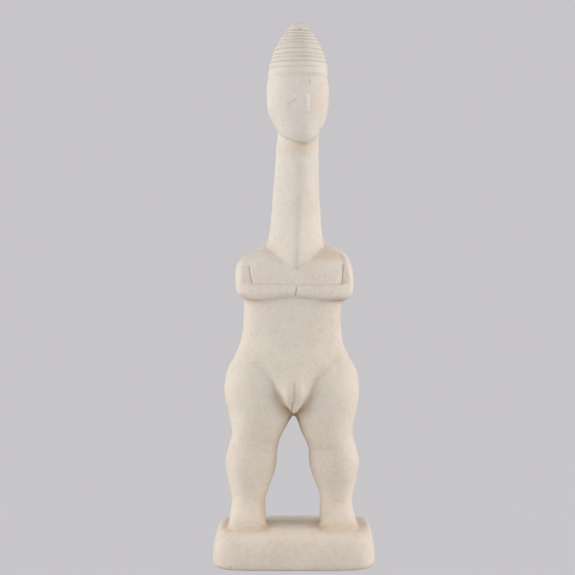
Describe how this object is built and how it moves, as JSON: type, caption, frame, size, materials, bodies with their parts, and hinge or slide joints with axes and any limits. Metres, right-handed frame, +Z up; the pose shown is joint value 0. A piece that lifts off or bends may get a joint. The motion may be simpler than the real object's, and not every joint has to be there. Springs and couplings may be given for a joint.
{
  "type": "carved stone figurine",
  "caption": "Carved stone figurine of a standing woman with folded arms and a ringed conical cap, in one piece with the rounded block under her feet.",
  "frame": {"origin": "centre of the underside of the block", "axes": "+Z up along the figure, +X to the right as seen from the front, the figure faces -Y"},
  "size_m": [0.132, 0.08, 0.4404],
  "materials": {
    "stone": "matte"
  },
  "bodies": {
    "root": {"figurine": "stone"}
  },
  "joints": []
}
